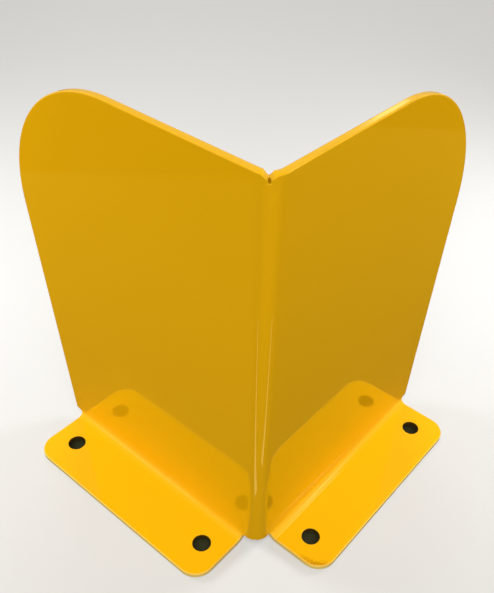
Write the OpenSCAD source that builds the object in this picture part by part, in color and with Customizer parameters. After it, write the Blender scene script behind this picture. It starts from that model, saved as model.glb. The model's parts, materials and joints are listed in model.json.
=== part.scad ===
// Rack column guard: one steel sheet, folded once into an upright corner
// and once along the foot of each leg, with two anchor holes in each foot.
// Millimetres, +Z up, the undersides of the feet at Z = 0.
// One leg runs along +X and the other along +Y, and the feet turn outwards,
// away from the column. The origin is the middle of the footprint.

/* [Legs] */
// Height of the guard above the floor
guard_h = 400; // [300:5:600]
// Length of each leg, from the sharp outer corner to its free edge
leg_length = 270; // [220:1:400]
// Thickness of the sheet
sheet_t = 6; // [3:0.5:8]
// Radius of the rounded top corner of each leg
top_r = 126; // [10:1:180]
// Radius of the bottom corner at the free edge of each leg
heel_r = 3; // [0.5:0.5:3]

/* [Folds] */
// Inside radius of the upright fold between the legs
corner_bend_r = 8; // [2:0.5:12]
// Inside radius of the fold between a leg and its foot
foot_bend_r = 8; // [5:0.5:12]
// How far the bottom edge of a leg lies below the start of its foot's fold
bottom_drop = 3; // [0:0.5:4]
// Radius in the sheet's outline where a foot leaves its leg
relief_r = 5; // [1:0.5:5.5]

/* [Fold mark] */
// Width of the V notch that marks the fold line on the top edge
mark_w = 8; // [3:0.5:10]
// Depth of the V notch in the top edge
mark_d = 3.5; // [1:0.5:4.5]
// Width of the slit below the V notch, where it opens in the outer face
slit_w = 1.8; // [0.4:0.1:2.4]
// How far the slit runs into the sheet, closing to nothing
slit_reach = 3; // [1:0.5:5]
// Depth of the slit, from the top edge
slit_d = 5.5; // [5:0.5:12]
// Width of the small notch in the bottom edge of the fold
foot_mark_w = 3; // [1:0.5:5]
// Depth of the small notch in the bottom edge of the fold
foot_mark_d = 1; // [0.5:0.1:2]
// Distance of the marks from the middle of the fold, towards the Y leg
mark_offset = 2; // [-3:0.5:3]

/* [Feet] */
// Depth of each foot, from the outer face of its leg to its front edge
foot_depth = 64; // [50:1:120]
// Distance along the leg from the end of the upright fold to the foot
foot_gap = 5.5; // [5.5:0.5:30]
// Distance along the leg from the end of the foot to the free edge
heel_overhang = 9.5; // [9:0.5:30]
// Radius of the foot's two front corners
foot_corner_r = 20; // [2:1:25]

/* [Anchor holes] */
// Diameter of each anchor hole
hole_d = 18; // [9:0.5:20]
// Distance from the end of the foot beside the fold to the first hole
hole_near = 25.5; // [15:0.5:40]
// Distance from the second hole to the other end of the foot
hole_far = 27.5; // [15:0.5:40]
// Distance from the foot's front edge to the row of holes
hole_edge = 33; // [15:1:45]

/* [Hidden] */
$fn = 96;
// Outer radius of the upright fold
corner_r = corner_bend_r + sheet_t;
// Height at which a leg is straight, above the fold of its foot
fold_z = foot_bend_r + sheet_t;
// Height of the bottom edge, at the upright fold and at the free edges
bottom_z = fold_z - bottom_drop;
// Where each foot starts and ends along its leg
foot_start = corner_r + foot_gap;
foot_end = leg_length - heel_overhang;
// Length of the fold of each foot, with the hollow radii at its ends
fold_length = foot_end - foot_start + 2 * relief_r;
// Where the holes lie along the leg, and how far out from its outer face
hole_places = [foot_start + hole_near, foot_end - hole_far];
hole_out = foot_depth - hole_edge;
// Offset from the sharp outer corner to the middle of the footprint
middle = (leg_length - foot_depth) / 2;
// How far a cut runs past the face that it opens
over = 1;
// Half the width of the slit's cut, that far past the outer face
slit_mouth = slit_w / 2 * (slit_reach + over) / slit_reach;

// Section of the sheet through a quarter-turn fold, about the fold's axis
module fold_section(inside_r) {
    intersection() {
        difference() {
            circle(inside_r + sheet_t);
            circle(inside_r);
        }
        square(inside_r + sheet_t);
    }
}

// What is trimmed off a square corner, at the origin, to round it
module corner_trim(r) {
    translate([-r, -r])
        difference() {
            square(r + over);
            circle(r);
        }
}

// What is trimmed beside a foot: its edge, and the hollow radius above it
module relief_trim() {
    translate([-relief_r - over, -bottom_z - over])
        square([relief_r + over, bottom_z + over - relief_r]);
    translate([-relief_r, -relief_r])
        circle(relief_r);
}

// A 2D shape stood up in the XZ plane, from y = 0 back through the sheet
module upright(depth) {
    translate([0, depth, 0])
        rotate([90, 0, 0])
            linear_extrude(depth)
                children();
}

// Both legs: as drawn along X, and mirrored onto Y
module each_leg() {
    children();
    mirror([1, -1, 0])
        children();
}

// The flat of one leg, with its top and bottom corners rounded, and open
// below where its foot is folded off
module leg() {
    upright(sheet_t)
        difference() {
            translate([corner_r, bottom_z])
                square([leg_length - corner_r, guard_h - bottom_z]);
            translate([foot_start - relief_r, 0])
                square([fold_length, fold_z]);
            translate([leg_length, guard_h])
                corner_trim(top_r);
            translate([leg_length, bottom_z])
                mirror([0, 1])
                    corner_trim(heel_r);
        }
}

// The quarter-turn between a leg and its foot, with the sheet's hollow
// radius at each end
module foot_fold() {
    difference() {
        translate([foot_start - relief_r, -foot_bend_r, fold_z])
            rotate([90, 0, 90])
                linear_extrude(fold_length)
                    rotate(-90)
                        fold_section(foot_bend_r);
        translate([0, -foot_bend_r - over, 0])
            upright(foot_bend_r + sheet_t + 2 * over) {
                translate([foot_start, bottom_z])
                    relief_trim();
                translate([foot_end, bottom_z])
                    mirror([1, 0])
                        relief_trim();
            }
    }
}

// The flat of one foot, with its front corners rounded and its holes
module foot() {
    difference() {
        linear_extrude(sheet_t)
            difference() {
                translate([foot_start, -foot_depth])
                    square([foot_end - foot_start, foot_depth - foot_bend_r]);
                translate([foot_start, -foot_depth])
                    rotate(180)
                        corner_trim(foot_corner_r);
                translate([foot_end, -foot_depth])
                    rotate(-90)
                        corner_trim(foot_corner_r);
            }
        for (x = hole_places)
            translate([x, -hole_out, -over])
                cylinder(d = hole_d, h = sheet_t + 2 * over);
    }
}

// Places a cut at the fold's marks: its x runs outwards from the fold's axis
// along the diagonal between the legs, and its y towards the X leg
module at_marks(z) {
    translate([corner_r, corner_r, z])
        rotate([0, 0, 225])
            translate([0, -mark_offset, 0])
                children();
}

// A 2D notch cut from the fold's axis straight out through the sheet
module fold_notch() {
    rotate([90, 0, 90])
        linear_extrude(corner_r + over)
            children();
}

// The V notch in the top edge, and the slit that opens below it
module top_mark() {
    fold_notch() {
        polygon([[-mark_w / 2, 0], [0, -mark_d], [mark_w / 2, 0]]);
        translate([-mark_w / 2, 0])
            square([mark_w, over]);
    }
    translate([corner_r - slit_reach, 0, -slit_d])
        linear_extrude(slit_d)
            polygon([[0, 0], [slit_reach + over, -slit_mouth], [slit_reach + over, slit_mouth]]);
}

// The small notch in the bottom edge of the fold
module bottom_mark() {
    fold_notch() {
        polygon([[-foot_mark_w / 2, 0], [0, foot_mark_d], [foot_mark_w / 2, 0]]);
        translate([-foot_mark_w / 2, -over])
            square([foot_mark_w, over]);
    }
}

// The upright fold that joins the legs
module corner_fold() {
    translate([corner_r, corner_r, bottom_z])
        rotate([0, 0, 180])
            linear_extrude(guard_h - bottom_z)
                fold_section(corner_bend_r);
}

// The whole folded sheet, marked at both ends of the upright fold
module column_guard() {
    color([0.86, 0.61, 0.03])
        translate([-middle, -middle, 0])
            difference() {
                union() {
                    corner_fold();
                    each_leg() {
                        leg();
                        foot_fold();
                        foot();
                    }
                }
                at_marks(guard_h)
                    top_mark();
                at_marks(bottom_z)
                    bottom_mark();
            }
}

column_guard();
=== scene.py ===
"""Rack column guard: a flat blank folded by Geometry Nodes, its gloss powder coat and the studio round it."""
import json
import math

import bpy
import numpy as np
from mathutils import Euler, Matrix, Vector
from mathutils.geometry import delaunay_2d_cdt


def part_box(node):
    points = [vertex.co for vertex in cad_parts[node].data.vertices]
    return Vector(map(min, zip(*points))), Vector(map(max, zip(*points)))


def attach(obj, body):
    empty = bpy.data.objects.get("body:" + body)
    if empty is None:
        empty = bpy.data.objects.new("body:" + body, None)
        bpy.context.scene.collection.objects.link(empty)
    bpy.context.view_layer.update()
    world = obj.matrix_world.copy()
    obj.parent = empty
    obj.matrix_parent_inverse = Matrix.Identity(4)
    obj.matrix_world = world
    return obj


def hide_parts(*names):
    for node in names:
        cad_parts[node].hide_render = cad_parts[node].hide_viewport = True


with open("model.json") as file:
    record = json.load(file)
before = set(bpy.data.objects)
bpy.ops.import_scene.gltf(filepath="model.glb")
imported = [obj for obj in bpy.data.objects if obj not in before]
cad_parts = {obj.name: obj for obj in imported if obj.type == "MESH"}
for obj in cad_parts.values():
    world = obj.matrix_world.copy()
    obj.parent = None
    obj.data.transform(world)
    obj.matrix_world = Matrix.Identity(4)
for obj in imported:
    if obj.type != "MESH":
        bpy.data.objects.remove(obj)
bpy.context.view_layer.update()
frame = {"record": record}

bl_info = {
    "name": "Rack column guard",
    "version": (1, 0, 0),
    "blender": (4, 5, 0),
    "location": "View3D > Sidebar > Column guard",
    "description": "Folds a rack column guard from one blank, coats it and sets the studio round it",
    "category": "Add Mesh",
}

MM = 0.001
PIECE_NAME = "column_guard_sheet"
NODE_NAME = "column_guard"

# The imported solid, which gives the sizes that the sheet has to keep
GUARD_LOW, GUARD_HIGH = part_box(NODE_NAME)
MOUNTS = {mount["name"]: mount for mount in frame["record"]["mounts"]}
ANCHORS = MOUNTS["anchors_x"]
ANCHOR_PITCH = ANCHORS["dims"]["spacing_x_mm"] * MM
ANCHOR_RADIUS = ANCHORS["dims"]["hole_r_mm"] * MM

# Photograph frame, in pixels
IMAGE_WIDTH = 494
IMAGE_HEIGHT = 593


class SheetSettings(bpy.types.PropertyGroup):
    """Sizes of the blank and of its folds"""

    leg_length: bpy.props.FloatProperty(
        name="Leg length", description="From the sharp outer corner to the free edge of a leg",
        default=270 * MM, unit="LENGTH")
    height: bpy.props.FloatProperty(
        name="Height", description="From the floor to the top edge",
        default=GUARD_HIGH.z, unit="LENGTH")
    thickness: bpy.props.FloatProperty(
        name="Sheet thickness", description="Thickness of the steel sheet",
        default=6 * MM, unit="LENGTH")
    top_radius: bpy.props.FloatProperty(
        name="Top corner radius", description="Radius of the rounded top corner of a leg",
        default=126 * MM, unit="LENGTH")
    heel_radius: bpy.props.FloatProperty(
        name="Heel radius", description="Radius of the bottom corner at the free edge of a leg",
        default=3 * MM, unit="LENGTH")
    bend_radius: bpy.props.FloatProperty(
        name="Inside bend radius", description="Inside radius of all three folds",
        default=8 * MM, unit="LENGTH")
    bottom_height: bpy.props.FloatProperty(
        name="Bottom height", description="From the floor to the sheet's bottom edge beside the feet",
        default=11 * MM, unit="LENGTH")
    neutral_share: bpy.props.FloatProperty(
        name="Neutral layer", description="Share of the sheet, from a fold's inside, that keeps its length",
        default=0.42, subtype="FACTOR")
    relief_radius: bpy.props.FloatProperty(
        name="Relief radius", description="Hollow radius in the blank where a foot leaves its leg",
        default=5 * MM, unit="LENGTH")
    foot_start: bpy.props.FloatProperty(
        name="Foot start", description="From the sharp outer corner to the near end of a foot",
        default=19.5 * MM, unit="LENGTH")
    foot_end: bpy.props.FloatProperty(
        name="Foot end", description="From the sharp outer corner to the far end of a foot",
        default=260.5 * MM, unit="LENGTH")
    foot_corner_radius: bpy.props.FloatProperty(
        name="Foot corner radius", description="Radius of a foot's two front corners",
        default=20 * MM, unit="LENGTH")
    mark_width: bpy.props.FloatProperty(
        name="Fold mark width", description="Width of the V notch on the fold line at the top edge",
        default=8 * MM, unit="LENGTH")
    mark_depth: bpy.props.FloatProperty(
        name="Fold mark depth", description="Depth of the V notch at the top edge",
        default=3.5 * MM, unit="LENGTH")
    slit_width: bpy.props.FloatProperty(
        name="Slit width", description="Width of the slit below the V notch, in the outer face",
        default=1.8 * MM, unit="LENGTH")
    slit_reach: bpy.props.FloatProperty(
        name="Slit reach", description="How far the slit runs into the sheet, closing to nothing",
        default=3 * MM, unit="LENGTH")
    slit_depth: bpy.props.FloatProperty(
        name="Slit depth", description="Depth of the slit from the top edge",
        default=5.5 * MM, unit="LENGTH")
    foot_mark_width: bpy.props.FloatProperty(
        name="Bottom mark width", description="Width of the notch on the fold line at the bottom edge",
        default=3 * MM, unit="LENGTH")
    foot_mark_depth: bpy.props.FloatProperty(
        name="Bottom mark depth", description="Depth of the notch on the fold line at the bottom edge",
        default=1 * MM, unit="LENGTH")
    mark_offset: bpy.props.FloatProperty(
        name="Fold mark offset", description="From the middle of the fold to its marks, towards the Y leg",
        default=2 * MM, unit="LENGTH")
    edge_draw: bpy.props.FloatProperty(
        name="Edge draw", description="How far the corner fold draws the sheet's edge in on its outside",
        default=0.75 * MM, unit="LENGTH")
    edge_radius: bpy.props.FloatProperty(
        name="Edge rounding", description="Radius that the deburred and coated edges have",
        default=0.9 * MM, unit="LENGTH")
    crisp_share: bpy.props.FloatProperty(
        name="Crisp rounding", description="Share of the edge rounding that the holes and fold marks have",
        default=0.4, min=0.0, max=1.0, subtype="FACTOR")


class CoatSettings(bpy.types.PropertyGroup):
    """Finish of the powder coat"""

    colour: bpy.props.FloatVectorProperty(
        name="Coat colour", description="Colour of the powder coat",
        default=(0.88, 0.45, 0.002), size=3, min=0.0, max=1.0, subtype="COLOR")
    deep_colour: bpy.props.FloatVectorProperty(
        name="Thick coat colour", description="Colour where the coat has built up",
        default=(0.85, 0.43, 0.002), size=3, min=0.0, max=1.0, subtype="COLOR")
    top_edge_colour: bpy.props.FloatVectorProperty(
        name="Top edge colour", description="Colour of the coat on the cut edges of the legs",
        default=(0.86, 0.46, 0.004), size=3, min=0.0, max=1.0, subtype="COLOR")
    # Paler colour of the feet's cut edges near the floor: a painted highlight for the light that these edges
    # catch
    foot_edge_highlight_colour: bpy.props.FloatVectorProperty(
        name="Foot edge colour", description="Colour of the rubbed coat on the cut edges of the feet",
        default=(1.0, 0.68, 0.16), size=3, min=0.0, max=1.0, subtype="COLOR")
    scuff_colour: bpy.props.FloatVectorProperty(
        name="Scuff colour", description="Colour of the dirt rubbed into the near corner of the X foot",
        default=(0.4, 0.16, 0.003), size=3, min=0.0, max=1.0, subtype="COLOR")
    # Near-black colour of the walls of the anchor holes and the slit: painted shade
    recess_shade_colour: bpy.props.FloatVectorProperty(
        name="Bore colour", description="Colour of the thinly coated walls of the anchor holes",
        default=(0.06, 0.035, 0.006), size=3, min=0.0, max=1.0, subtype="COLOR")
    peel_size: bpy.props.FloatProperty(
        name="Orange peel size", description="Width of a ripple in the coat",
        default=1.8 * MM, unit="LENGTH")
    peel_depth: bpy.props.FloatProperty(
        name="Orange peel depth", description="Depth of the ripples in the coat",
        default=0.004 * MM, unit="LENGTH", precision=6)


class StageSettings(bpy.types.PropertyGroup):
    """Floor, lights and camera of the studio"""

    floor_colour: bpy.props.FloatVectorProperty(
        name="Floor colour", description="Colour of the plain floor",
        default=(0.36, 0.357, 0.35), size=3, min=0.0, max=1.0, subtype="COLOR")
    floor_light: bpy.props.FloatProperty(
        name="Floor light", description="Even light of the floor itself, as a light table has",
        default=0.36, min=0.0)
    sky_strength: bpy.props.FloatProperty(
        name="Fill light", description="Strength of the even light from above",
        default=0.1, min=0.0)
    horizon_strength: bpy.props.FloatProperty(
        name="Horizon light", description="Strength of the light from the pale backdrop all round",
        default=0.31, min=0.0)
    key_power: bpy.props.FloatProperty(
        name="Key light", description="Power of the softbox high over the corner",
        default=95.0, min=0.0, unit="POWER")
    front_power: bpy.props.FloatProperty(
        name="Front light", description="Power of the low softbox in front of the corner",
        default=40.0, min=0.0, unit="POWER")
    left_power: bpy.props.FloatProperty(
        name="Left light", description="Power of the low softbox on the left",
        default=2.5, min=0.0, unit="POWER")
    right_power: bpy.props.FloatProperty(
        name="Right light", description="Power of the small softbox near the top of the X leg",
        default=0.65, min=0.0, unit="POWER")
    end_power: bpy.props.FloatProperty(
        name="End lights", description="Power of the low softbox beyond the end of either foot",
        default=5.7, min=0.0, unit="POWER")
    back_power: bpy.props.FloatProperty(
        name="Back light", description="Power of the softbox high behind the guard",
        default=20.0, min=0.0, unit="POWER")
    right_glint_power: bpy.props.FloatProperty(
        name="Right bend glint", description="Power of the light that the fold of the X foot mirrors",
        default=0.5, min=0.0, unit="POWER")
    right_glow_power: bpy.props.FloatProperty(
        name="Right bend glow", description="Power of the broad light that the fold of the X foot mirrors",
        default=0.6, min=0.0, unit="POWER")
    left_glint_power: bpy.props.FloatProperty(
        name="Left bend glint", description="Power of the light that the fold of the Y foot mirrors",
        default=0.43, min=0.0, unit="POWER")
    edge_glint_power: bpy.props.FloatProperty(
        name="Top edge glint", description="Power of the light that the top edge of the X leg mirrors",
        default=0.16, min=0.0, unit="POWER")
    glow_power: bpy.props.FloatProperty(
        name="Floor glow", description="Power of the lit floor that the legs mirror",
        default=2.2, min=0.0, unit="POWER")
    fold_glint_power: bpy.props.FloatProperty(
        name="Fold glints", description="Power of each low strip that the corner fold mirrors",
        default=0.018, min=0.0, unit="POWER", precision=4)


# Blank

class Blank:
    """Places on the flat blank: along the sheet from the middle of the corner fold, and up the sheet."""

    def __init__(self, sheet):
        self.sheet = sheet
        self.outer_radius = sheet.bend_radius + sheet.thickness
        self.fold_height = self.outer_radius
        self.allowance = (sheet.bend_radius + sheet.neutral_share * sheet.thickness) * math.pi / 2
        self.corner = Vector((GUARD_HIGH.x - sheet.leg_length, GUARD_HIGH.y - sheet.leg_length, 0.0))
        self.foot_depth = self.corner.x - GUARD_LOW.x
        self.mark = self.mark_at(0.0)
        self.half_slit = self.unrolled(sheet.slit_width / 2, 0.0)

    def along(self, distance):
        """Place on the blank of a distance along a leg from the sharp outer corner."""
        return distance - self.outer_radius + self.allowance / 2

    def unrolled(self, offset, depth):
        """Place on the blank of an offset from the legs' diagonal, at a depth in the corner fold."""
        return math.asin(offset / (self.outer_radius - depth)) / (math.pi / 2) * self.allowance

    def mark_at(self, depth):
        """Place of the fold marks on the blank, which follow the diagonal through the sheet."""
        return -self.unrolled(self.sheet.mark_offset, depth)

    def below(self, depth):
        """Height on the blank of a distance out from a leg's outer face along its foot."""
        return self.fold_height - self.allowance - (depth - self.sheet.bend_radius)

    def corners(self):
        """The blank's outline, counter-clockwise, as (along, up, corner radius)."""
        s = self.sheet
        top, bottom, mark = s.height, s.bottom_height, self.mark
        front = self.below(self.foot_depth)
        leg = [
            (self.along(s.foot_start), bottom, s.relief_radius),
            (self.along(s.foot_start), front, s.foot_corner_radius),
            (self.along(s.foot_end), front, s.foot_corner_radius),
            (self.along(s.foot_end), bottom, s.relief_radius),
            (self.along(s.leg_length), bottom, s.heel_radius),
            (self.along(s.leg_length), top, s.top_radius),
        ]
        other_leg = [(-along, up, radius) for along, up, radius in reversed(leg)]
        half_slit = self.half_slit
        slit_top = top - s.mark_depth * (1 - 2 * half_slit / s.mark_width)
        slit_bottom = top - s.slit_depth
        top_mark = [
            (mark + s.mark_width / 2, top, 0.0),
            (mark + half_slit, slit_top, 0.0),
            (mark + half_slit, slit_bottom, half_slit),
            (mark - half_slit, slit_bottom, half_slit),
            (mark - half_slit, slit_top, 0.0),
            (mark - s.mark_width / 2, top, 0.0),
        ]
        bottom_mark = [
            (mark - s.foot_mark_width / 2, bottom, 0.0),
            (mark, bottom + s.foot_mark_depth, 0.0),
            (mark + s.foot_mark_width / 2, bottom, 0.0),
        ]
        return bottom_mark + leg + top_mark + other_leg

    def holes(self):
        """Middles of the four anchor holes on the blank."""
        up = self.below(self.corner.y - ANCHORS["pos_m"][1])
        middle = ANCHORS["pos_m"][0] - self.corner.x
        places = [self.along(middle + side * ANCHOR_PITCH / 2) for side in (-1, 1)]
        return [(sign * place, up) for sign in (-1, 1) for place in places]


# The mesh: distances between its points, and how many go round a hole, a rounding and a wall
FOLD_STEP = 0.9 * MM
FLAT_STEP = 5 * MM
GRID_STEP = 12 * MM
ARC_STEP = math.radians(6)
HOLE_SIDES = 56
RIM_STEPS = 5
WALL_STEPS = 6
SAME_PLACE = 0.001 * MM
JOIN_DISTANCE_MM = 1e-5
# Shares of a step: the longest straight that isn't divided, and the shortest that is left at its end
LONGEST_WHOLE = 1.5
SHORTEST_END = 0.5
# Share of an edge's length that the inner points keep clear of its start
EDGE_CLEARANCE = 0.7
# Distance over which the sheet changes beside the fold marks
MARK_BLEND = 10 * MM
# The slit: how nearly it closes, how dark its walls are painted as shade, and where in its reach that comes
# and goes
SLIT_CLOSE = 0.97
SLIT_SHADE = 0.5
SHADE_RISE = 0.25
SHADE_FALL = 0.5
# How far past the slit's own width and depth its points are looked for
SLIT_SIDE_MARGIN = 1.01
SLIT_END_MARGIN = 1.1


def spacing(blank, along, up):
    """Wanted distance between points: fine in the folds, wide on the flats."""
    past = blank.fold_height - up
    in_corner = abs(along) < blank.allowance / 2 + FOLD_STEP
    in_foot = -FOLD_STEP < past < blank.allowance + FOLD_STEP
    return FOLD_STEP if in_corner or in_foot else FLAT_STEP


def rounded_corner(before, corner, after, radius):
    """Points of the arc that rounds one corner of an outline, or the corner itself."""
    if radius == 0:
        return [corner]
    back, ahead = (before - corner).normalized(), (after - corner).normalized()
    half = back.angle(ahead) / 2
    middle = corner + (back + ahead).normalized() * (radius / math.sin(half))
    start = corner + back * (radius / math.tan(half)) - middle
    end = corner + ahead * (radius / math.tan(half)) - middle
    turn = start.angle_signed(end)
    count = max(2, math.ceil(abs(turn) / ARC_STEP), math.ceil(abs(turn) * radius / FLAT_STEP))
    return [middle + Matrix.Rotation(-turn * i / count, 2) @ start for i in range(count + 1)]


def outline(blank):
    """The blank's edge as a ring of points on its arcs and straights, and which are sharp corners."""
    corners = blank.corners()
    places = [Vector(corner[:2]) for corner in corners]
    turns = []
    for i, (_, _, radius) in enumerate(corners):
        turns.append(rounded_corner(places[i - 1], places[i], places[(i + 1) % len(places)], radius))
    ring = []
    for turn, following in zip(turns, turns[1:] + turns[:1]):
        ring.extend(turn)
        place, goal = turn[-1].copy(), following[0]
        while (goal - place).length > LONGEST_WHOLE * spacing(blank, *place):
            ahead = (goal - place).normalized()
            step = spacing(blank, *(place + ahead * FOLD_STEP))
            place = place + ahead * step
            if (goal - place).length > SHORTEST_END * step:
                ring.append(place)
    ring = np.array(ring)
    ring = ring[np.linalg.norm(ring - np.roll(ring, 1, axis=0), axis=1) > SAME_PLACE]
    sharp_places = np.array([corner[:2] for corner in corners if corner[2] == 0])
    nearest = np.linalg.norm(ring[:, None] - sharp_places[None], axis=2).min(axis=1)
    return ring, nearest < SAME_PLACE


def hole_ring(middle, radius):
    """An anchor hole's edge, clockwise, so that the sheet is on its left."""
    turn = -np.arange(HOLE_SIDES) * 2 * math.pi / HOLE_SIDES
    return np.array(middle) + radius * np.column_stack((np.cos(turn), np.sin(turn)))


def inward(ring):
    """Mitred directions from a ring's points into the sheet, which is on its left."""
    ahead = np.roll(ring, -1, axis=0) - ring
    ahead /= np.linalg.norm(ahead, axis=1)[:, None]
    left = np.column_stack((-ahead[:, 1], ahead[:, 0]))
    mean = left + np.roll(left, 1, axis=0)
    mean /= np.linalg.norm(mean, axis=1)[:, None]
    return mean / np.sum(mean * left, axis=1)[:, None]


def rim_profile(sheet):
    """Round the sheet's edge from one face to the other, as (inset, depth), with a flat margin on each."""
    radius, thickness = sheet.edge_radius, sheet.thickness
    quarter = [
        (radius * (1 - math.sin(turn)), radius * (1 - math.cos(turn)))
        for turn in np.linspace(0, math.pi / 2, RIM_STEPS + 1)
    ]
    front = [(2 * radius, 0.0)] + quarter
    wall = [(0.0, depth) for depth in np.linspace(radius, thickness - radius, WALL_STEPS + 1)[1:-1]]
    return front + wall + [(inset, thickness - depth) for inset, depth in reversed(front)]


def inner_points(blank, rings):
    """Points between the rings: rows along the folds and a wide grid on the flats."""
    s = blank.sheet
    reach, front = blank.along(s.leg_length), blank.below(blank.foot_depth)
    fold_low = blank.fold_height - blank.allowance
    fold_rows = round(blank.allowance / FOLD_STEP)
    half = blank.allowance / 2
    leg_columns = np.arange(half + GRID_STEP, reach, GRID_STEP)
    leg_rows = np.arange(blank.fold_height + GRID_STEP, s.height, GRID_STEP)
    grids = [
        (np.linspace(-half, half, fold_rows + 1), np.arange(s.bottom_height, s.height, FLAT_STEP)),
        (np.arange(-reach, reach, FLAT_STEP), np.linspace(fold_low, blank.fold_height, fold_rows + 1)),
        (leg_columns, leg_rows),
        (-leg_columns, leg_rows),
        (np.arange(-reach, reach, GRID_STEP), np.arange(fold_low - GRID_STEP, front, -GRID_STEP)),
    ]
    points = np.vstack([np.stack(np.meshgrid(*grid), axis=-1).reshape(-1, 2) for grid in grids])
    return points[inside(points, rings)]


def inside(points, rings):
    """Which points lie within the outer ring, outside the holes and clear of every edge."""
    within = np.zeros(len(points), bool)
    clear = np.ones(len(points), bool)
    for ring in rings:
        for start, end in zip(ring, np.roll(ring, -1, axis=0)):
            along, up = points[:, 0], points[:, 1]
            spans = (start[1] > up) != (end[1] > up)
            rise = end[1] - start[1] if end[1] != start[1] else 1.0
            cross = start[0] + (up - start[1]) * (end[0] - start[0]) / rise
            within ^= spans & (along < cross)
            away = np.hypot(along - start[0], up - start[1])
            clear &= away > EDGE_CLEARANCE * np.hypot(*(end - start))
    return within & clear


def fill(rings, points):
    """Triangles between the rings, as indices into the rings' points and then the inner points."""
    places = np.vstack(rings + [points])
    edges, first = [], 0
    for ring in rings:
        count = len(ring)
        edges += [(first + i, first + (i + 1) % count) for i in range(count)]
        first += count
    in_mm = [Vector(place / MM) for place in places]
    within_edges = 1
    made = delaunay_2d_cdt(in_mm, edges, [], within_edges, JOIN_DISTANCE_MM)
    if len(made[0]) != len(places):
        raise RuntimeError("the blank's edges cross each other")
    origin = [sources[0] for sources in made[3]]
    ring_of = [number for number, ring in enumerate(rings) for place in ring] + [0] * len(points)
    faces = [[origin[i] for i in face] for face in made[2]]
    return [face for face in faces if not over_hole([ring_of[i] for i in face])]


def over_hole(numbers):
    """Whether a triangle's three points are all on one hole's ring, so that it only closes the hole."""
    return numbers[0] > 0 and numbers[0] == numbers[1] == numbers[2]


def eased(value):
    """A smooth step from 0 to 1."""
    value = np.clip(value, 0.0, 1.0)
    return value * value * (3 - 2 * value)


def crispness(blank, ring):
    """How much of the edge rounding each point of the outline has: less at the fold marks."""
    s = blank.sheet
    aside = eased((np.abs(ring[:, 0] - blank.mark) - s.mark_width / 2) / MARK_BLEND)
    return s.crisp_share + (1 - s.crisp_share) * aside


def in_slit(blank, ring):
    """Which points of the outline are on the two sides and the end of the slit."""
    near = np.abs(ring[:, 0] - blank.mark) < SLIT_SIDE_MARGIN * blank.half_slit
    return near & (ring[:, 1] > blank.sheet.height - SLIT_END_MARGIN * blank.sheet.slit_depth)


def slit_shade_share(sheet, depth):
    """Share of painted shade on the slit's walls: darkest a little way in, none at its mouth and its end."""
    share = depth / sheet.slit_reach
    return SLIT_SHADE * float(eased(share / SHADE_RISE)) * float(eased((1 - share) / SHADE_FALL))


def skewed(blank, place, depth):
    """Follows the diagonal through the sheet with the points by the fold marks."""
    s = blank.sheet
    aside = (abs(place[0] - blank.mark) - s.mark_width / 2) / MARK_BLEND
    from_end = min(s.height - s.slit_depth - place[1], place[1] - s.bottom_height) / MARK_BLEND
    return place[0] + (blank.mark_at(depth) - blank.mark) * (1 - eased(aside)) * (1 - eased(from_end))


def blank_mesh(blank):
    """The flat blank as a closed mesh: x along the sheet, y up it and z through it."""
    s = blank.sheet
    profile = rim_profile(s)
    outer_edge, sharp = outline(blank)
    edges = [outer_edge] + [hole_ring(middle, ANCHOR_RADIUS) for middle in blank.holes()]
    crisp = [crispness(blank, edges[0])] + [np.full(len(edge), s.crisp_share) for edge in edges[1:]]
    turned = [inward(edge) * share[:, None] for edge, share in zip(edges, crisp)]
    slit = in_slit(blank, edges[0])
    slit_side = np.sign(edges[0][:, 0] - blank.mark) * slit
    margins = [edge + turn * profile[0][0] for edge, turn in zip(edges, turned)]
    points = inner_points(blank, margins)
    triangles = fill(margins, points)

    places, bore, rim, layers = [], [], [], []
    for inset, depth in profile:
        layer = []
        rounded = max(0.0, 1 - inset / s.edge_radius)
        closing = SLIT_CLOSE * blank.half_slit * min(depth / s.slit_reach, 1.0)
        for number, (edge, turn) in enumerate(zip(edges, turned)):
            ring = edge + turn * inset
            if number == 0:
                ring[:, 0] -= slit_side * closing
            layer.append(range(len(places), len(places) + len(ring)))
            places.extend((skewed(blank, place, depth), place[1], depth) for place in ring)
            # The walls of the holes, and of the slit a little way in, take painted shade; the other rounded
            # edges take the edge colour
            shade_share = np.ones(len(ring)) if number > 0 else slit * slit_shade_share(s, depth)
            bore.extend(rounded * shade_share)
            rim.extend(rounded * (1 - shade_share))
        layers.append(layer)
    face_points = []
    for layer, depth in ((layers[0], 0.0), (layers[-1], s.thickness)):
        margin = [index for ring in layer for index in ring]
        face_points.append(margin + list(range(len(places), len(places) + len(points))))
        places.extend((skewed(blank, place, depth), place[1], depth) for place in points)
        bore.extend([0.0] * len(points))
        rim.extend([0.0] * len(points))

    faces = [[face_points[0][i] for i in triangle] for triangle in triangles]
    faces += [[face_points[1][i] for i in reversed(triangle)] for triangle in triangles]
    for layer, outer_layer in zip(layers, layers[1:]):
        for ring, outer in zip(layer, outer_layer):
            count = len(ring)
            for i in range(count):
                j = (i + 1) % count
                faces.append((outer[i], outer[j], ring[j], ring[i]))

    mesh = bpy.data.meshes.new("guard_blank")
    mesh.from_pydata(places, [], faces)
    # bore marks where the walls of the holes and the slit get painted shade
    mesh.attributes.new("bore", "FLOAT", "POINT").data.foreach_set("value", bore)
    mesh.attributes.new("rim", "FLOAT", "POINT").data.foreach_set("value", rim)
    outer_rings = [layer[0] for layer in layers]
    creases = {
        (ring[i], following[i])
        for ring, following in zip(outer_rings, outer_rings[1:]) for i in np.flatnonzero(sharp)
    }
    for edge in mesh.edges:
        edge.use_edge_sharp = tuple(sorted(edge.vertices)) in creases
    return mesh


# Press brake

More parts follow.
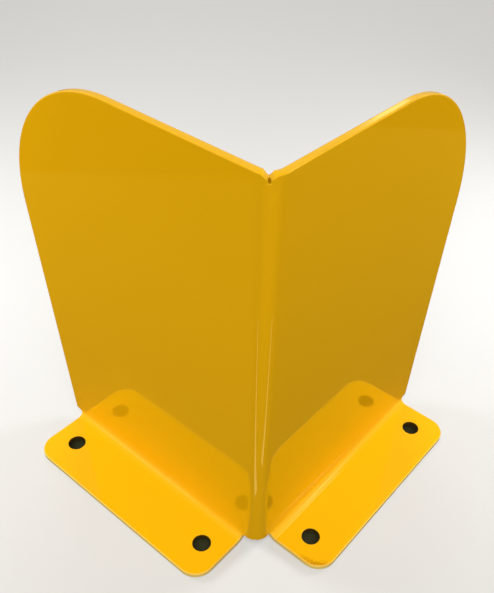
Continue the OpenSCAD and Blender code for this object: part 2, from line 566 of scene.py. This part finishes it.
class FieldMath:
    """Short forms for the arithmetic of a Geometry Nodes tree."""

    def __init__(self, tree):
        self.tree = tree

    def node(self, operation, *values, clamp=False):
        made = self.tree.nodes.new("ShaderNodeMath")
        made.operation = operation
        made.use_clamp = clamp
        for socket, value in zip(made.inputs, values):
            if isinstance(value, bpy.types.NodeSocket):
                self.tree.links.new(value, socket)
            else:
                socket.default_value = value
        return made.outputs[0]

    def add(self, a, b):
        return self.node("ADD", a, b)

    def sub(self, a, b):
        return self.node("SUBTRACT", a, b)

    def mul(self, a, b):
        return self.node("MULTIPLY", a, b)

    def above_zero(self, a):
        return self.node("MAXIMUM", a, 0.0)

    def clamped(self, a):
        return self.node("ADD", a, 0.0, clamp=True)

    def mixed(self, share, a, b):
        """The first of two values at a share of 0, and the second at 1."""
        return self.node("MULTIPLY_ADD", share, self.sub(b, a), a)

    def quarter_turn(self, share):
        """A quarter turn, as far as a share from 0 to 1 goes."""
        return self.mul(self.clamped(share), math.pi / 2)


def press_brake_tree(material):
    """Node tree that folds the feet off a flat blank, and then folds the blank into a corner."""
    tree = bpy.data.node_groups.new("Press brake", "GeometryNodeTree")
    tree.interface.new_socket("Blank", in_out="INPUT", socket_type="NodeSocketGeometry")
    names = (
        "Sheet thickness", "Bend radius", "Neutral layer", "Fold height", "Bottom height", "Top height",
        "Edge draw", "Foot start", "Foot end", "Relief")
    for name in names:
        tree.interface.new_socket(name, in_out="INPUT", socket_type="NodeSocketFloat")
    tree.interface.new_socket("Outer corner", in_out="INPUT", socket_type="NodeSocketVector")
    tree.interface.new_socket("Guard", in_out="OUTPUT", socket_type="NodeSocketGeometry")
    source = tree.nodes.new("NodeGroupInput")
    blank, thickness, radius, neutral, fold_height, bottom_height, top_height, edge_draw = source.outputs[:8]
    foot_start, foot_end, relief, corner = source.outputs[8:12]

    m = FieldMath(tree)
    position = tree.nodes.new("GeometryNodeInputPosition")
    flat = tree.nodes.new("ShaderNodeSeparateXYZ")
    tree.links.new(position.outputs[0], flat.inputs[0])
    along, cut_height, depth = flat.outputs
    allowance = m.mul(m.add(radius, m.mul(neutral, thickness)), math.pi / 2)

    # The sheet's edges at both ends of the corner fold: drawn in towards its outside
    share = m.node("DIVIDE", along, m.add(m.mul(allowance, 0.5), thickness))
    window = m.node("POWER", m.node("SUBTRACT", 1.0, m.mul(share, share), clamp=True), 2.0)
    side = m.node("MINIMUM", m.sub(m.node("DIVIDE", m.mul(depth, 2.0), thickness), 1.0), 0.0)
    fade_top = m.clamped(m.node("EXPONENT", m.node("DIVIDE", m.sub(cut_height, top_height), thickness)))
    fade_low = m.clamped(m.node("EXPONENT", m.node("DIVIDE", m.sub(bottom_height, cut_height), thickness)))
    draw = m.mul(m.mul(edge_draw, side), m.mul(window, m.sub(fade_top, fade_low)))
    up = m.add(cut_height, draw)

    # The foot's fold: about an axis in front of the sheet, at the fold height
    past = m.sub(fold_height, up)
    foot_turn = m.quarter_turn(m.node("DIVIDE", past, allowance))
    foot_arm = m.add(radius, depth)
    foot_run = m.above_zero(m.sub(past, allowance))
    back = m.sub(m.sub(m.mul(foot_arm, m.node("COSINE", foot_turn)), radius), foot_run)
    rise = m.add(fold_height, m.above_zero(m.mul(past, -1.0)))
    drop = m.sub(rise, m.mul(foot_arm, m.node("SINE", foot_turn)))

    # Beside a foot the sheet stays straight, with a short change along the relief
    aside = m.node("ABSOLUTE", along)
    near = m.node("DIVIDE", m.add(m.sub(aside, foot_start), relief), relief)
    far = m.node("DIVIDE", m.add(m.sub(foot_end, aside), relief), relief)
    folded_share = m.node("MINIMUM", m.clamped(near), m.clamped(far))
    back = m.mixed(folded_share, depth, back)
    height = m.mixed(folded_share, up, drop)

    # The corner's fold: about an upright axis behind the sheet
    outer = m.add(radius, thickness)
    corner_turn = m.quarter_turn(m.add(m.node("DIVIDE", along, allowance), 0.5))
    corner_arm = m.sub(outer, back)
    half = m.mul(allowance, 0.5)
    run_x = m.above_zero(m.sub(along, half))
    run_y = m.above_zero(m.sub(m.mul(along, -1.0), half))
    x = m.add(m.sub(outer, m.mul(corner_arm, m.node("COSINE", corner_turn))), run_x)
    y = m.add(m.sub(outer, m.mul(corner_arm, m.node("SINE", corner_turn))), run_y)

    folded = tree.nodes.new("ShaderNodeCombineXYZ")
    for socket, value in zip(folded.inputs, (x, y, height)):
        tree.links.new(value, socket)
    placed = tree.nodes.new("ShaderNodeVectorMath")
    placed.operation = "ADD"
    tree.links.new(folded.outputs[0], placed.inputs[0])
    tree.links.new(corner, placed.inputs[1])

    fold = tree.nodes.new("GeometryNodeSetPosition")
    tree.links.new(blank, fold.inputs["Geometry"])
    tree.links.new(placed.outputs[0], fold.inputs["Position"])
    smooth = tree.nodes.new("GeometryNodeSetShadeSmooth")
    realize = tree.nodes.new("GeometryNodeRealizeInstances")
    coat = tree.nodes.new("GeometryNodeSetMaterial")
    coat.inputs["Material"].default_value = material
    result = tree.nodes.new("NodeGroupOutput")
    chain = [fold, smooth, realize, coat, result]
    for node, following in zip(chain, chain[1:]):
        tree.links.new(node.outputs[0], following.inputs[0])
    return tree


def set_inputs(modifier, values):
    """Sets a Geometry Nodes modifier's inputs by their sockets' identifiers."""
    for item in modifier.node_group.interface.items_tree:
        if item.in_out == "INPUT" and item.name in values:
            modifier[item.identifier] = values[item.name]


def plain_mesh(piece):
    """Replaces a piece's mesh by what its modifiers make of it, and removes them."""
    graph = bpy.context.evaluated_depsgraph_get()
    made = bpy.data.meshes.new_from_object(piece.evaluated_get(graph))
    piece.modifiers.clear()
    piece.data = made


# Finish

COAT_IOR = 1.7
TONE_PATCH = 120 * MM
GLOSS_PATCH = 35 * MM
SMOOTHEST = 0.025
ROUGHEST = 0.055
EDGE_ROUGHNESS = 0.12
# Height below which the cut edges take the paler colour, a painted highlight
EDGE_HIGHLIGHT_HEIGHT = 10 * MM
# The dirt: its line round the corner's middle, the patches of its wander and grain, and its faintest
SCUFF_RADIUS = 17.2 * MM
SCUFF_WIDTH = 4.2 * MM
SCUFF_WANDER = 1.4 * MM
SCUFF_WANDER_PATCH = 6 * MM
SCUFF_GRAIN = 2 * MM
SCUFF_FAINTEST = 0.15
SCUFF_ANGLE = math.radians(205)
SCUFF_DIRECTION = (math.cos(SCUFF_ANGLE), math.sin(SCUFF_ANGLE), 0.0)
# Shares of the radius, along the dirt's direction, where it starts and is whole
SCUFF_START = 0.6
SCUFF_WHOLE = 0.95
# Noise values between which the wander and the grain go from end to end
WANDER_NOISE = (0.25, 0.75)
GRAIN_NOISE = (0.36, 0.6)
FLOOR_WAVER = 0.97
FLOOR_PATCH = 1.0 / 3.0
FLOOR_ROUGHNESS = 0.85
FLOOR_SPECULAR = 0.1
# Colours of the wells under the anchor holes: painted shade that the holes show
WELL_SHADE_COLOUR = (0.062, 0.061, 0.025)
WELL_PALE_SHADE_COLOUR = (0.108, 0.107, 0.05)
WELL_PATCH = 2.5 * MM
WELL_ROUGHNESS = 0.95
WELL_SPECULAR = 0.0


class Finish:
    """A new material, and short forms for the nodes that feed its shader."""

    def __init__(self, name):
        self.material = bpy.data.materials.new(name)
        self.material.use_nodes = True
        self.tree = self.material.node_tree
        self.place = self.node("ShaderNodeTexCoord", {})["Object"]

    def fill_inputs(self, node, inputs):
        """Sets a node's inputs to values, or links them to other nodes' outputs."""
        for name, value in inputs.items():
            if isinstance(value, bpy.types.NodeSocket):
                self.tree.links.new(value, node.inputs[name])
            else:
                node.inputs[name].default_value = value

    def node(self, kind, inputs, **settings):
        """Outputs of a new node with these settings and inputs."""
        made = self.tree.nodes.new(kind)
        for name, value in settings.items():
            setattr(made, name, value)
        self.fill_inputs(made, inputs)
        return made.outputs

    def shaded(self, inputs):
        """The material, with its shader's inputs filled."""
        self.fill_inputs(self.tree.nodes["Principled BSDF"], inputs)
        return self.material

    def noise(self, size, detail=2.0):
        """Noise from 0 to 1 in patches of one size."""
        inputs = {"Vector": self.place, "Scale": 1.0 / size, "Detail": detail}
        return self.node("ShaderNodeTexNoise", inputs)["Fac"]

    def mixed(self, factor, first, second):
        """The first of two colours at a factor of 0, and the second at 1."""
        inputs = {"Factor": factor}
        for name, colour in (("A", first), ("B", second)):
            inputs[name] = colour if isinstance(colour, bpy.types.NodeSocket) else (*colour, 1.0)
        return self.node("ShaderNodeMix", inputs, data_type="RGBA")["Result"]

    def ramp(self, value, start, end, low, high):
        """Value from low at start to high at end."""
        inputs = {"Value": value, "From Min": start, "From Max": end, "To Min": low, "To Max": high}
        return self.node("ShaderNodeMapRange", inputs)["Result"]

    def math_of(self, operation, first, second=0.0):
        """What an operation makes of one or two values."""
        return self.node("ShaderNodeMath", {0: first, 1: second}, operation=operation)["Value"]

    def vector_of(self, operation, first, second=(0.0, 0.0, 0.0)):
        """Outputs of an operation on one or two vectors."""
        return self.node("ShaderNodeVectorMath", {0: first, 1: second}, operation=operation)

    def painted(self, name):
        """A value that the mesh holds for each of its points."""
        return self.node("ShaderNodeAttribute", {}, attribute_name=name)["Fac"]


def scuff_share(finish, sheet):
    """Share of dirt in a broken line round the X foot's near corner, just inside its edge."""
    middle = (
        Blank(sheet).corner.x + sheet.foot_start + sheet.foot_corner_radius,
        GUARD_LOW.y + sheet.foot_corner_radius, sheet.thickness)
    offset = finish.vector_of("SUBTRACT", finish.place, middle)["Vector"]
    away = finish.vector_of("LENGTH", offset)["Value"]
    ahead = finish.vector_of("DOT_PRODUCT", offset, SCUFF_DIRECTION)["Value"]
    waves = finish.noise(SCUFF_WANDER_PATCH, detail=3.0)
    wander = finish.ramp(waves, *WANDER_NOISE, -SCUFF_WANDER, SCUFF_WANDER)
    wandered = finish.math_of("ADD", away, wander)
    off_line = finish.math_of("ABSOLUTE", finish.math_of("SUBTRACT", wandered, SCUFF_RADIUS))
    line = finish.ramp(off_line, 0.0, SCUFF_WIDTH, 1.0, 0.0)
    start, whole = SCUFF_START * SCUFF_RADIUS, SCUFF_WHOLE * SCUFF_RADIUS
    stretch = finish.ramp(ahead, start, whole, 0.0, 1.0)
    broken = finish.ramp(finish.noise(SCUFF_GRAIN, detail=3.0), *GRAIN_NOISE, SCUFF_FAINTEST, 1.0)
    return finish.math_of("MULTIPLY", finish.math_of("MULTIPLY", line, stretch), broken)


def powder_coat(coat, sheet):
    """Gloss powder coat with orange peel, paler low edges as painted highlight, dirt in one corner and
    painted shade in the bores and the slit.
    """
    finish = Finish("yellow_powder_coat")

    # The coat itself, then the dirt in one corner, the cut edges, paler near the floor as painted highlight,
    # and painted shade in the bores and the slit
    tone = finish.mixed(finish.noise(TONE_PATCH, detail=3.0), coat.colour, coat.deep_colour)
    scuffed = finish.mixed(scuff_share(finish, sheet), tone, coat.scuff_colour)
    # The cut edges near the floor are paler: a painted highlight
    height = finish.node("ShaderNodeSeparateXYZ", {"Vector": finish.place})["Z"]
    low_edge_highlight = finish.ramp(height, EDGE_HIGHLIGHT_HEIGHT, 2 * EDGE_HIGHLIGHT_HEIGHT, 1.0, 0.0)
    edge_tone_and_highlight = finish.mixed(low_edge_highlight, coat.top_edge_colour, coat.foot_edge_highlight_colour)
    edged = finish.mixed(finish.painted("rim"), scuffed, edge_tone_and_highlight)
    # Painted shade: near-black walls in the anchor holes and in the slit
    recess_shaded = finish.mixed(finish.painted("bore"), edged, coat.recess_shade_colour)

    gloss = finish.ramp(finish.noise(GLOSS_PATCH, detail=4.0), 0.0, 1.0, SMOOTHEST, ROUGHEST)
    edge_gloss = finish.math_of("MULTIPLY", finish.painted("rim"), EDGE_ROUGHNESS)
    ripples = {"Distance": coat.peel_depth, "Height": finish.noise(coat.peel_size, detail=1.0)}
    return finish.shaded({
        "Base Color": recess_shaded,
        "IOR": COAT_IOR,
        "Roughness": finish.math_of("ADD", gloss, edge_gloss),
        "Normal": finish.node("ShaderNodeBump", ripples)["Normal"],
    })


def floor_finish(stage):
    """Plain pale floor with faint changes of tone and some even light of its own."""
    finish = Finish("pale_floor")
    darker = [FLOOR_WAVER * channel for channel in stage.floor_colour]
    return finish.shaded({
        "Base Color": finish.mixed(finish.noise(FLOOR_PATCH), stage.floor_colour, darker),
        "Roughness": FLOOR_ROUGHNESS,
        "Specular IOR Level": FLOOR_SPECULAR,
        "Emission Color": (*SKY_COLOUR, 1.0),
        "Emission Strength": stage.floor_light,
    })


def well_shade_finish():
    """Near-black wall and bottom of a well under an anchor hole: painted shade that shows through the hole.
    """
    finish = Finish("drilled_floor")
    return finish.shaded({
        "Base Color": finish.mixed(finish.noise(WELL_PATCH), WELL_SHADE_COLOUR, WELL_PALE_SHADE_COLOUR),
        "Roughness": WELL_ROUGHNESS,
        "Specular IOR Level": WELL_SPECULAR,
    })


# Studio

FLOOR_HALF = 4.0
FLOOR_GAP = 0.1 * MM
WELL_DEPTH = 60 * MM
WELL_MARGIN = 3 * MM
STUDIO_MIDDLE = Vector((0.0, 0.0, 0.15))
GLINT_COLOUR = (1.0, 0.92, 0.45)
FLOOR_GLINT_COLOUR = (1.0, 0.85, 0.35)
FLOOR_GLINT_WIDTH = 20 * MM
FLOOR_GLINT_SPREAD = math.radians(125)
SKY_COLOUR = (1.0, 0.98, 0.93)
GROUND_STRENGTH = 0.01
# Bands of the backdrop, by the sine of their angle above the horizon
SKY_LEVELS = ((-0.35, "ground"), (-0.12, "horizon"), (0.35, "horizon"), (0.7, "sky"))
GLOW_COLOUR = (1.0, 1.0, 0.15)
GLOW_BELOW_WELLS = 5 * MM
GLOW_MIDDLE = Vector((0.083, -0.071, -WELL_DEPTH - GLOW_BELOW_WELLS))
GLOW_WIDTH = 1.9
GLOW_LENGTH = 3.4
GLOW_TURN = math.radians(139.5)

# Lights that shade: name, place, width, height and the setting that holds the power
SOFTBOXES = (
    ("key_softbox", (-1.25, -1.1, 3.6), 2.0, 2.0, "key_power"),
    ("front_softbox", (-2.85, -2.1, 0.9), 1.6, 1.6, "front_power"),
    ("left_softbox", (-3.2, 0.3, 0.8), 1.6, 1.0, "left_power"),
    ("right_softbox", (0.05, -0.5, 0.9), 0.3, 0.3, "right_power"),
    ("left_end_softbox", (-0.3, 0.8, 0.5), 0.3, 0.3, "end_power"),
    ("right_end_softbox", (0.8, -0.3, 0.5), 0.3, 0.3, "end_power"),
    ("back_softbox", (1.5, 1.5, 2.2), 1.2, 1.2, "back_power"),
)

# Places on the sheet that mirror a light
RIGHT_BEND = (-0.03, -0.108, 0.007)
LEFT_BEND = (-0.105, 0.03, 0.009)
TOP_EDGE = (0.02, -0.1, 0.4)

# Lights that are mirrored: name, place, what mirrors it, width, height and the setting that holds the power
GLINTS = (
    ("right_bend_glint", (0.66, -0.255, 1.33), RIGHT_BEND, 0.14, 0.36, "right_glint_power"),
    ("right_bend_glow", (0.575, -0.79, 0.79), RIGHT_BEND, 0.18, 0.4, "right_glow_power"),
    ("left_bend_glint", (-1.31, 0.78, 0.38), LEFT_BEND, 0.4, 0.38, "left_glint_power"),
    ("edge_glint", (1.23, 0.56, 0.99), TOP_EDGE, 0.12, 0.12, "edge_glint_power"),
)

# Strips on the floor that the corner fold mirrors: name, start and end
FLOOR_GLINTS = (
    ("left_fold_glint", (-0.15, -0.122, 0.01), (-0.43, -0.1, 0.01)),
    ("right_fold_glint", (-0.143, -0.18, 0.01), (-0.15, -0.43, 0.01)),
)


def well_rings():
    """Rims of the wells in the floor under the anchor holes, which hold painted shade."""
    rings = []
    for name, axis in (("anchors_x", 0), ("anchors_y", 1)):
        for side in (-1, 1):
            middle = np.array(MOUNTS[name]["pos_m"][:2])
            middle[axis] += side * ANCHOR_PITCH / 2
            rings.append(hole_ring(middle, ANCHOR_RADIUS + WELL_MARGIN))
    return rings


def floor_mesh():
    """A square floor, open over each well."""
    square = FLOOR_HALF * np.array([(-1, -1), (1, -1), (1, 1), (-1, 1)])
    rings = [square] + well_rings()
    mesh = bpy.data.meshes.new("studio_floor")
    places = [(x, y, -FLOOR_GAP) for ring in rings for x, y in ring]
    mesh.from_pydata(places, [], fill(rings, np.empty((0, 2))))
    return mesh


def wells_mesh():
    """The walls and bottoms of the wells, which take the painted shade."""
    places, faces = [], []
    for ring in well_rings():
        top, bottom = len(places), len(places) + HOLE_SIDES
        places.extend((x, y, -FLOOR_GAP) for x, y in ring)
        places.extend((x, y, -WELL_DEPTH) for x, y in ring)
        for i in range(HOLE_SIDES):
            j = (i + 1) % HOLE_SIDES
            faces.append((top + j, top + i, bottom + i, bottom + j))
        faces.append([bottom + i for i in reversed(range(HOLE_SIDES))])
    mesh = bpy.data.meshes.new("floor_wells")
    mesh.from_pydata(places, [], faces)
    return mesh


def area_light(name, place, turn, width, height, power):
    """A flat light that isn't seen itself."""
    light = bpy.data.lights.new(name, "AREA")
    light.shape = "RECTANGLE"
    light.size = width
    light.size_y = height
    light.energy = power
    lamp = bpy.data.objects.new(name, light)
    lamp.location = place
    lamp.rotation_mode = "QUATERNION"
    lamp.rotation_quaternion = turn
    lamp.visible_camera = False
    bpy.context.scene.collection.objects.link(lamp)
    return lamp


def facing(place, goal):
    """How a light at one place is turned to shine at another."""
    return (Vector(goal) - Vector(place)).to_track_quat("-Z", "Y")


def softbox(name, place, width, height, power):
    """A light that shades the sheet, and isn't mirrored in its gloss."""
    lamp = area_light(name, place, facing(place, STUDIO_MIDDLE), width, height, power)
    lamp.visible_glossy = False


def glint(name, place, turn, width, height, power, colour=GLINT_COLOUR):
    """A light that is mirrored in the gloss, and adds nothing to the shading."""
    lamp = area_light(name, place, turn, width, height, power)
    lamp.visible_diffuse = False
    lamp.data.color = colour
    return lamp


def floor_glint(name, start, end, power):
    """A narrow glint along the floor from one place to another, which shines steeply upwards only."""
    start, end = Vector(start), Vector(end)
    run = end - start
    turn = Euler((math.pi, 0.0, math.atan2(run.y, run.x))).to_quaternion()
    lamp = glint(name, (start + end) / 2, turn, run.length, FLOOR_GLINT_WIDTH, power, FLOOR_GLINT_COLOUR)
    lamp.data.spread = FLOOR_GLINT_SPREAD


def floor_glow(power):
    """The lit part of the floor as the sheet mirrors it, which ends in a straight edge on either side."""
    turn = Euler((math.pi, 0.0, GLOW_TURN)).to_quaternion()
    glint("floor_glow", GLOW_MIDDLE, turn, GLOW_WIDTH, GLOW_LENGTH, power, GLOW_COLOUR)


def studio_sky(stage):
    """A pale backdrop round the horizon, even light from above it, and a dim grey below the floor."""
    world = bpy.data.worlds.new("studio")
    world.use_nodes = True
    nodes, links = world.node_tree.nodes, world.node_tree.links
    place = nodes.new("ShaderNodeTexCoord").outputs["Generated"]
    split = nodes.new("ShaderNodeSeparateXYZ")
    links.new(place, split.inputs[0])
    low, high = SKY_LEVELS[0][0], SKY_LEVELS[-1][0]
    rise = nodes.new("ShaderNodeMapRange")
    rise.inputs["From Min"].default_value = low
    rise.inputs["From Max"].default_value = high
    links.new(split.outputs["Z"], rise.inputs["Value"])
    bands = nodes.new("ShaderNodeValToRGB")
    links.new(rise.outputs["Result"], bands.inputs["Fac"])
    strengths = {"ground": GROUND_STRENGTH, "horizon": stage.horizon_strength, "sky": stage.sky_strength}
    while len(bands.color_ramp.elements) < len(SKY_LEVELS):
        bands.color_ramp.elements.new(1.0)
    for element, (height, band) in zip(bands.color_ramp.elements, SKY_LEVELS):
        element.position = (height - low) / (high - low)
        element.color = (*(strengths[band] * channel for channel in SKY_COLOUR), 1.0)
    links.new(bands.outputs["Color"], nodes["Background"].inputs["Color"])
    bpy.context.scene.world = world


CAMERA_PLACE = Vector((-0.3663, -0.3118, 0.5887))
CAMERA_AIM = Vector((0.0894, 0.0260, 0.0))
CAMERA_ROLL = math.radians(4.0)
CAMERA_CLIP = 10 * MM
FOCAL_PIXELS = 670.3
AXIS_PIXEL = (280.2, 382.9)


def photo_camera():
    """A camera where the photograph was taken from, with the crop's off-centre axis as shift."""
    data = bpy.data.cameras.new("photo_camera")
    long_side = max(IMAGE_WIDTH, IMAGE_HEIGHT)
    data.lens = data.sensor_width * FOCAL_PIXELS / long_side
    data.shift_x = (IMAGE_WIDTH / 2 - AXIS_PIXEL[0]) / long_side
    data.shift_y = (AXIS_PIXEL[1] - IMAGE_HEIGHT / 2) / long_side
    data.clip_start = CAMERA_CLIP
    camera = bpy.data.objects.new("photo_camera", data)
    level = (CAMERA_AIM - CAMERA_PLACE).to_track_quat("-Z", "Y").to_matrix()
    turn = level @ Matrix.Rotation(CAMERA_ROLL, 3, "Z")
    camera.matrix_world = Matrix.LocRotScale(CAMERA_PLACE, turn.to_quaternion(), None)
    bpy.context.scene.collection.objects.link(camera)
    bpy.context.scene.camera = camera


# Operators

class GUARD_OT_fold_sheet(bpy.types.Operator):
    """Cut the blank, fold it into the guard and coat it"""

    bl_idname = "guard.fold_sheet"
    bl_label = "Fold sheet"

    def execute(self, context):
        sheet = context.scene.guard_sheet
        blank = Blank(sheet)
        piece = bpy.data.objects.new(PIECE_NAME, blank_mesh(blank))
        context.scene.collection.objects.link(piece)
        brake = piece.modifiers.new("Press brake", "NODES")
        brake.node_group = press_brake_tree(powder_coat(context.scene.guard_coat, sheet))
        set_inputs(brake, {
            "Sheet thickness": sheet.thickness,
            "Bend radius": sheet.bend_radius,
            "Neutral layer": sheet.neutral_share,
            "Fold height": blank.fold_height,
            "Bottom height": sheet.bottom_height,
            "Top height": sheet.height,
            "Edge draw": sheet.edge_draw,
            "Foot start": blank.along(sheet.foot_start),
            "Foot end": blank.along(sheet.foot_end),
            "Relief": sheet.relief_radius,
            "Outer corner": blank.corner,
        })
        plain_mesh(piece)
        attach(piece, "root")
        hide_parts(NODE_NAME)
        return {"FINISHED"}


class GUARD_OT_set_stage(bpy.types.Operator):
    """Lay the floor, hang the lights and place the camera"""

    bl_idname = "guard.set_stage"
    bl_label = "Set stage"

    def execute(self, context):
        stage = context.scene.guard_stage
        floor = bpy.data.objects.new("studio_floor", floor_mesh())
        floor.data.materials.append(floor_finish(stage))
        floor.visible_glossy = False
        # Dark wells under the anchor holes: painted shade that shows through them
        wells = bpy.data.objects.new("floor_wells", wells_mesh())
        wells.data.materials.append(well_shade_finish())
        for ground in (floor, wells):
            ground.visible_diffuse = False
            context.scene.collection.objects.link(ground)
        for name, place, width, height, power in SOFTBOXES:
            softbox(name, place, width, height, getattr(stage, power))
        for name, place, goal, width, height, power in GLINTS:
            glint(name, place, facing(place, goal), width, height, getattr(stage, power))
        for name, start, end in FLOOR_GLINTS:
            floor_glint(name, start, end, stage.fold_glint_power)
        floor_glow(stage.glow_power)
        studio_sky(stage)
        photo_camera()
        context.scene.view_settings.view_transform = "Standard"
        return {"FINISHED"}


class GUARD_PT_panel(bpy.types.Panel):
    """Column guard"""

    bl_idname = "GUARD_PT_panel"
    bl_label = "Column guard"
    bl_space_type = "VIEW_3D"
    bl_region_type = "UI"
    bl_category = "Column guard"

    def draw(self, context):
        layout = self.layout
        for settings in (context.scene.guard_sheet, context.scene.guard_coat, context.scene.guard_stage):
            box = layout.box()
            for name in settings.__annotations__:
                box.prop(settings, name)
        layout.operator(GUARD_OT_fold_sheet.bl_idname)
        layout.operator(GUARD_OT_set_stage.bl_idname)


CLASSES = (
    SheetSettings, CoatSettings, StageSettings,
    GUARD_OT_fold_sheet, GUARD_OT_set_stage, GUARD_PT_panel,
)


def register():
    for cls in CLASSES:
        bpy.utils.register_class(cls)
    bpy.types.Scene.guard_sheet = bpy.props.PointerProperty(type=SheetSettings)
    bpy.types.Scene.guard_coat = bpy.props.PointerProperty(type=CoatSettings)
    bpy.types.Scene.guard_stage = bpy.props.PointerProperty(type=StageSettings)


def unregister():
    del bpy.types.Scene.guard_stage
    del bpy.types.Scene.guard_coat
    del bpy.types.Scene.guard_sheet
    for cls in reversed(CLASSES):
        bpy.utils.unregister_class(cls)


def main():
    register()
    bpy.ops.guard.fold_sheet()
    bpy.ops.guard.set_stage()


if __name__ == "__main__":
    main()
